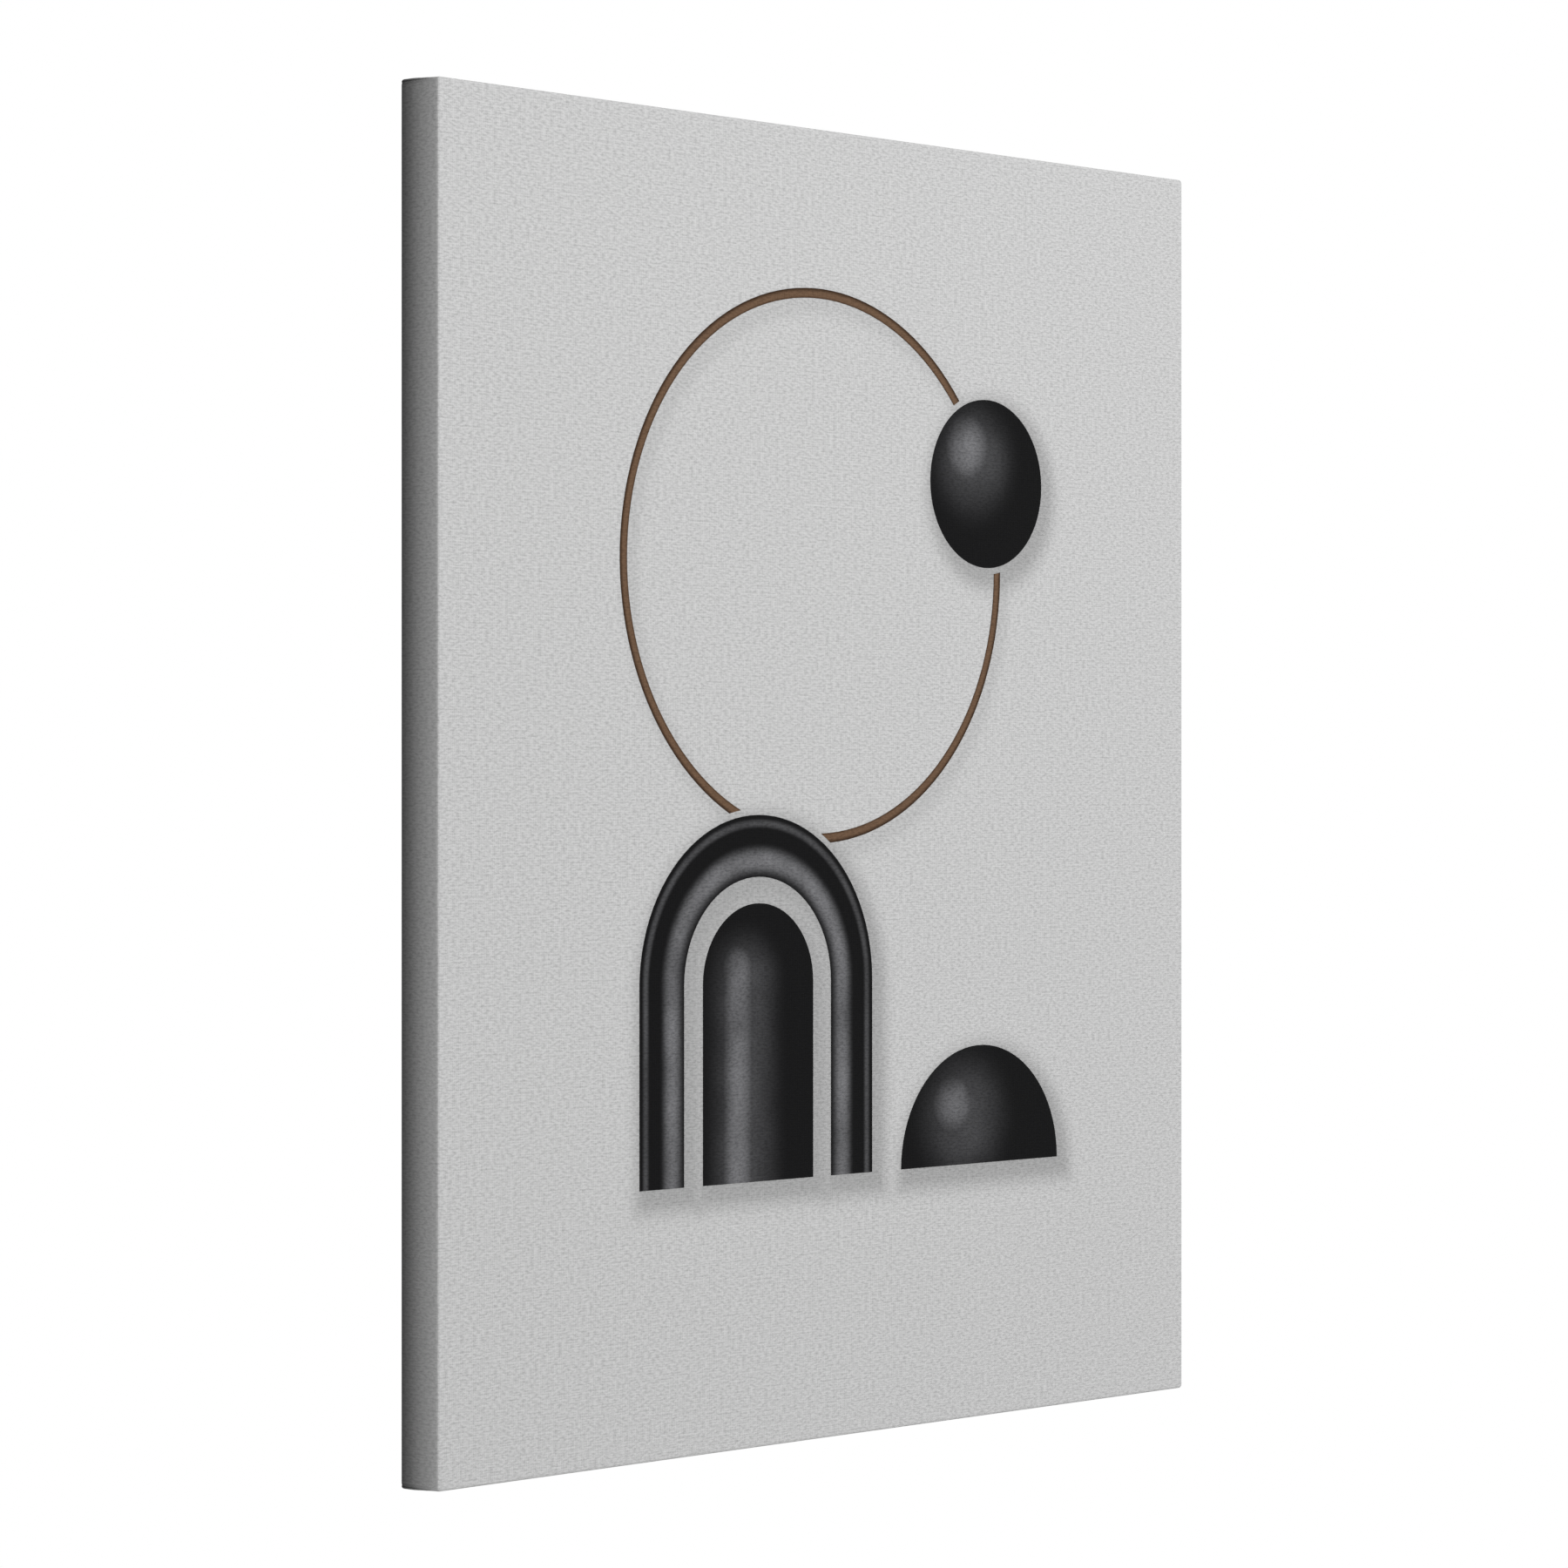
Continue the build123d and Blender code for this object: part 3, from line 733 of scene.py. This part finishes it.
bars = {  # the way the grain runs, and the pith's place from the bar's middle
    "top_bar": ("x", (0.11, -0.034, 0.046)),
    "bottom_bar": ("x", (-0.23, -0.045, -0.014)),
    "left_bar": ("z", (-0.044, -0.032, 0.13)),
    "right_bar": ("z", (0.052, -0.045, -0.17)),
    "cross_brace": ("x", (0.05, -0.030, 0.018)),
}


def drawnOut(tree, place, grain, share):
    # place with x or z scaled by share, so that a pattern on it is longer that way; 0 drops it
    scale = (share, 1, 1) if grain == "x" else (1, 1, share)
    return addNode(tree, "VectorMath", [place, scale], operation="MULTIPLY").outputs[0]


def pineWood(name, pith, grain):
    # planed pine: pale early wood darkening to a thin late line in each year's ring, a few small
    # knots, satin; ring = distance from the pith, which runs along the bar, bent by noise and
    # pushed aside by the knots
    material, tree, shader = newMaterial(name, 0.55)
    place = addNode(tree, "TexCoord").outputs["Object"]
    moved = addNode(tree, "VectorMath", [place, tuple(pith)], operation="SUBTRACT").outputs[0]
    drawn = drawnOut(tree, moved, grain, 0.05)
    beside = drawnOut(tree, moved, grain, 0)
    radius = addNode(tree, "VectorMath", [beside], operation="LENGTH").outputs["Value"]

    parts = addNode(tree, "SeparateXYZ", [moved])
    spread = addNode(tree, "CombineXYZ", [parts.outputs[0], parts.outputs[2], 0.0]).outputs[0]
    cells = {"Vector": spread, "Scale": 1 / pine["knotSpacing"]}
    cells = addNode(tree, "TexVoronoi", cells, voronoi_dimensions="2D").outputs["Distance"]
    fromKnot = addNode(tree, "Math", [cells, pine["knotSpacing"]], operation="MULTIPLY").outputs[0]
    push = [fromKnot, 0.0, pine["knotReach"], pine["knotPush"], 0.0]
    push = addNode(tree, "MapRange", push, interpolation_type="SMOOTHERSTEP")
    warp = addNode(tree, "TexNoise", {"Vector": drawn, "Scale": 22.0, "Detail": 3.0}).outputs["Fac"]
    bent = addNode(tree, "Math", [warp, pine["bend"], radius], operation="MULTIPLY_ADD")
    bent = addNode(tree, "Math", [bent.outputs[0], push.outputs[0]], operation="ADD")
    rings = addNode(tree, "Math", [bent.outputs[0], 1 / pine["ring"]], operation="MULTIPLY")
    rings = rings.outputs[0]
    spacing = addNode(tree, "TexNoise", {"W": rings, "Scale": 0.35}, noise_dimensions="1D")
    rings = [spacing.outputs["Fac"], pine["uneven"], rings]
    rings = addNode(tree, "Math", rings, operation="MULTIPLY_ADD")
    year = addNode(tree, "Math", [rings.outputs[0]], operation="FRACT")
    early, late = pine["early"], pine["late"]
    stops = [(0, early), (0.45, early), (0.86, late), (0.94, late), (1, early)]
    growth = addNode(tree, "ValToRGB", [year.outputs[0]], stops=stops)
    strength = addNode(tree, "MapRange", [warp, 0.35, 0.65, 0.45, 1.0])
    plain = {0: strength.outputs[0], 6: linear(early), 7: growth.outputs[0]}
    plain = addNode(tree, "Mix", plain, data_type="RGBA").outputs[2]
    zone = addNode(tree, "TexNoise", {"Vector": drawn, "Scale": 9.0, "Detail": 2.0})
    redder = addNode(tree, "MapRange", [zone.outputs["Fac"], 0.42, 0.68, 0.0, 0.4])
    plain = {0: redder.outputs[0], 6: plain, 7: linear(pine["heart"])}
    plain = addNode(tree, "Mix", plain, data_type="RGBA", blend_type="MULTIPLY").outputs[2]

    # resin canals: short thin brown dashes along the grain, where a stretched fine noise peaks
    combed = drawnOut(tree, moved, grain, 0.025)
    fibre = {"Vector": combed, "Scale": 0.5 / pine["fibre"], "Detail": 4.0, "Roughness": 0.7}
    fibre = addNode(tree, "TexNoise", fibre).outputs["Fac"]
    peak = {"Vector": combed, "Scale": 0.55 / pine["fibre"], "Detail": 1.0}
    peak = addNode(tree, "TexNoise", peak).outputs["Fac"]
    dash = addNode(tree, "MapRange", [peak, 0.69, 0.75, 0.0, 0.6])
    plain = {0: dash.outputs[0], 6: plain, 7: linear(pine["canal"])}
    plain = addNode(tree, "Mix", plain, data_type="RGBA").outputs[2]

    # a knot: its own rings, a dark rim, and a brown stain that fades into the wood round it
    size = pine["knotSize"]
    inKnot = addNode(tree, "MapRange", [fromKnot, 0.0, size + pine["knotRim"]])
    knotWood = addNode(tree, "ValToRGB", [inKnot.outputs[0]], stops=pine["knot"])
    knot = [fromKnot, size, size + pine["knotStain"], 0.9, 0.0]
    knot = addNode(tree, "MapRange", knot, interpolation_type="SMOOTHSTEP")
    colour = {0: knot.outputs[0], 6: plain, 7: knotWood.outputs[0]}
    colour = addNode(tree, "Mix", colour, data_type="RGBA").outputs[2]

    tone = addNode(tree, "MapRange", [fibre, 0.25, 0.75, 0.87, 1.07])
    tinted = addNode(tree, "VectorMath", {0: colour, "Scale": tone.outputs[0]}, operation="SCALE")
    tree.links.new(tinted.outputs[0], shader.inputs["Base Color"])
    bump = addNode(tree, "Bump", {"Strength": 0.5, "Distance": 0.0001, "Height": fibre})
    tree.links.new(bump.outputs[0], shader.inputs["Normal"])
    return material


beech = {
    "pale": "e0bf98",
    "dark": "c79c6f",
    "fleck": "a67850",
    "fibre": 0.0003,
    "fleckWide": 0.0003,  # a ray seen from its end, about two millimetres long
}


def beechWood(name, grain):
    # sawn beech: close pinkish wood, faint fibres and short dark flecks along the key, no shine
    material, tree, shader = newMaterial(name, 0.6)
    place = addNode(tree, "TexCoord").outputs["Object"]
    combed = drawnOut(tree, place, grain, 0.05)
    fibre = {"Vector": combed, "Scale": 0.5 / beech["fibre"], "Detail": 4.0}
    fibre = addNode(tree, "TexNoise", fibre).outputs["Fac"]
    stops = [(0.3, beech["dark"]), (0.65, beech["pale"])]
    colour = addNode(tree, "ValToRGB", [fibre], stops=stops)
    dashed = drawnOut(tree, place, grain, 0.16)
    ray = {"Vector": dashed, "Scale": 0.5 / beech["fleckWide"], "Detail": 1.0}
    ray = addNode(tree, "TexNoise", ray).outputs["Fac"]
    fleck = addNode(tree, "MapRange", [ray, 0.6, 0.68, 0.0, 0.5])
    flecked = {0: fleck.outputs[0], 6: colour.outputs[0], 7: linear(beech["fleck"])}
    flecked = addNode(tree, "Mix", flecked, data_type="RGBA")
    tree.links.new(flecked.outputs[2], shader.inputs["Base Color"])
    bump = addNode(tree, "Bump", {"Strength": 0.5, "Distance": 0.0001, "Height": fibre})
    tree.links.new(bump.outputs[0], shader.inputs["Normal"])
    return material


zinc = {
    "dark": "84878a",
    "pale": "adb0b3",
    "roughness": (0.28, 0.44),
    "lines": 2200.0,  # rolling lines to a metre
}


def zincSteel():
    # bright zinc-plated steel strip and wire: an even cool grey, faint rolling lines, a satin shine
    material, tree, shader = newMaterial("zinc_plated_steel", 0.3, metallic=1)
    place = addNode(tree, "TexCoord").outputs["Object"]
    drawn = drawnOut(tree, place, "x", 0.04)
    lines = {"Vector": drawn, "Scale": zinc["lines"], "Detail": 3.0}
    lines = addNode(tree, "TexNoise", lines).outputs["Fac"]
    cloud = addNode(tree, "TexNoise", {"Vector": place, "Scale": 160.0, "Detail": 2.0})
    both = addNode(tree, "Math", [lines, cloud.outputs["Fac"]], operation="ADD")
    level = addNode(tree, "MapRange", [both.outputs[0], 0.7, 1.3]).outputs[0]
    colour = addNode(tree, "ValToRGB", [level], stops=[(0, zinc["dark"]), (1, zinc["pale"])])
    tree.links.new(colour.outputs[0], shader.inputs["Base Color"])
    rough = addNode(tree, "MapRange", [level, 0.0, 1.0, *zinc["roughness"]])
    tree.links.new(rough.outputs[0], shader.inputs["Roughness"])
    bump = addNode(tree, "Bump", {"Strength": 0.3, "Distance": 0.00002, "Height": lines})
    tree.links.new(bump.outputs[0], shader.inputs["Normal"])
    return material


def bumperRubber():
    # soft black polyurethane, slightly dusty
    material, tree, shader = newMaterial("soft_rubber", 0.6)
    place = addNode(tree, "TexCoord").outputs["Object"]
    dust = addNode(tree, "TexNoise", {"Vector": place, "Scale": 700.0, "Detail": 4.0})
    stops = [(0.35, "1d1d1e"), (0.75, "343435")]
    colour = addNode(tree, "ValToRGB", [dust.outputs["Fac"]], stops=stops)
    tree.links.new(colour.outputs[0], shader.inputs["Base Color"])
    return material


def dress(name, material):
    mesh = nodes[name].data
    mesh.materials.clear()
    mesh.materials.append(material)


# camera, light and floor

view = {
    "place": (-1.7083, -1.5879, 0.0),  # from the middle of the picture's face
    "turn": 47.948,  # degrees to the right of square on
    "lens": 116.18,
    "shift": -0.0838,
    "world": 0.5,  # strength of the even light all round
}

lamps = {  # place, size, watts
    "key": ((0.8, -3.0, 1.6), 2.4, 78),
    "back": ((1.8, 2.7, 1.9), 3.6, 58),
}

floor = {
    "drop": 2.8,  # low enough for a look at the picture from below
    "radius": 3.6,
    "rings": 5,
    "spokes": 96,
    "colour": "f4f4f4",
    "glow": (0.6, 1.0),  # white that the camera sees at the middle and at the rim
    "glowFrom": (0.3, 0.95),  # shares of the radius between which it grows
}


def makeCamera():
    data = bpy.data.cameras.new("camera")
    data.sensor_width = 36
    data.lens = view["lens"]
    data.shift_x = view["shift"]
    camera = bpy.data.objects.new("camera", data)
    camera.location = Vector((0, frontY, middleZ)) + Vector(view["place"])
    camera.rotation_euler = (pi / 2, 0, -radians(view["turn"]))
    bpy.context.collection.objects.link(camera)
    bpy.context.scene.camera = camera


def makeLamp(name, place, size, power):
    data = bpy.data.lights.new(name, "AREA")
    data.size = size
    data.energy = power
    lamp = bpy.data.objects.new(name, data)
    lamp.location = place
    aim = Vector((0, frontY, middleZ)) - Vector(place)
    lamp.rotation_euler = aim.to_track_quat("-Z", "Y").to_euler()
    bpy.context.collection.objects.link(lamp)


def makeWorld():
    world = bpy.data.worlds.new("studio")
    world.use_nodes = True
    tree = world.node_tree
    tree.nodes.clear()
    path = addNode(tree, "LightPath")
    seen = [path.outputs["Is Camera Ray"], path.outputs["Is Glossy Ray"]]
    seen = addNode(tree, "Math", seen, operation="MAXIMUM").outputs[0]
    seen = [seen, path.outputs["Is Transmission Ray"]]
    seen = addNode(tree, "Math", seen, operation="MAXIMUM").outputs[0]
    lit = addNode(tree, "Background", {"Color": (1, 1, 1, 1), "Strength": view["world"]})
    white = addNode(tree, "Background", {"Color": (1, 1, 1, 1), "Strength": 1.0})
    mixed = addNode(tree, "MixShader", [seen, lit.outputs[0], white.outputs[0]])
    addNode(tree, "OutputWorld", [mixed.outputs[0]])
    bpy.context.scene.world = world


def makeFloor():
    # a pale disc; the camera sees it half lit, half glowing white, so that it keeps a shadow,
    # and all white at its rim, where it meets the background
    turn = np.linspace(0, 2 * pi, floor["spokes"] + 1)[:-1, None]
    radius = np.linspace(0, floor["radius"], floor["rings"])
    x, y = radius * np.cos(turn), radius * np.sin(turn)
    points = np.stack([x, y, np.full_like(x, middleZ - floor["drop"])], 2).reshape(-1, 3)
    faces = gridFaces(floor["spokes"], floor["rings"], loop=True).tolist()
    material, tree, shader = newMaterial("pale_floor", 0.9)
    shader.inputs["Base Color"].default_value = linear(floor["colour"])
    path = addNode(tree, "LightPath")
    glow = addNode(tree, "Emission", {"Color": (1, 1, 1, 1), "Strength": 1.0})
    place = addNode(tree, "TexCoord").outputs["Object"]
    onFloor = addNode(tree, "VectorMath", [place, (1, 1, 0)], operation="MULTIPLY").outputs[0]
    fromMiddle = addNode(tree, "VectorMath", [onFloor], operation="LENGTH").outputs["Value"]
    reach = [share * floor["radius"] for share in floor["glowFrom"]]
    glowing = [fromMiddle, *reach, *floor["glow"]]
    glowing = addNode(tree, "MapRange", glowing, interpolation_type="SMOOTHSTEP").outputs[0]
    share = [path.outputs["Is Camera Ray"], glowing]
    share = addNode(tree, "Math", share, operation="MULTIPLY").outputs[0]
    mixed = addNode(tree, "MixShader", [share, shader.outputs[0], glow.outputs[0]])
    tree.links.new(mixed.outputs[0], tree.nodes["Material Output"].inputs["Surface"])
    meshObject("floor", points, faces, [material])


makeCamera()
makeWorld()
for name, (place, size, power) in lamps.items():
    makeLamp(name, place, size, power)
makeFloor()
print("camera, light and floor")

makeCanvas(printedCanvas(), rawCanvas(), cottonYarn())
dress("print_dark_shapes", darkInk())
dress("print_brown_circle", brownInk())
for name, (grain, offset) in bars.items():
    low, high = boxOf(name)
    dress(name, pineWood(name + "_pine", (low + high) / 2 + np.array(offset), grain))
beechKeys = {"x": beechWood("sawn_beech_level", "x"), "z": beechWood("sawn_beech_upright", "z")}
for name in nodes:
    if "_key_" in name:  # a key in the top or bottom bar points up or down
        dress(name, beechKeys["x" if name.startswith(("left", "right")) else "z"])
steel = zincSteel()
for name in ("staples", "sawtooth_hanger", "hanger_screws"):
    dress(name, steel)
rubber = bumperRubber()
for name in ("bumper_left", "bumper_right"):
    dress(name, rubber)
print("materials")

bpy.context.scene.view_settings.view_transform = "Standard"
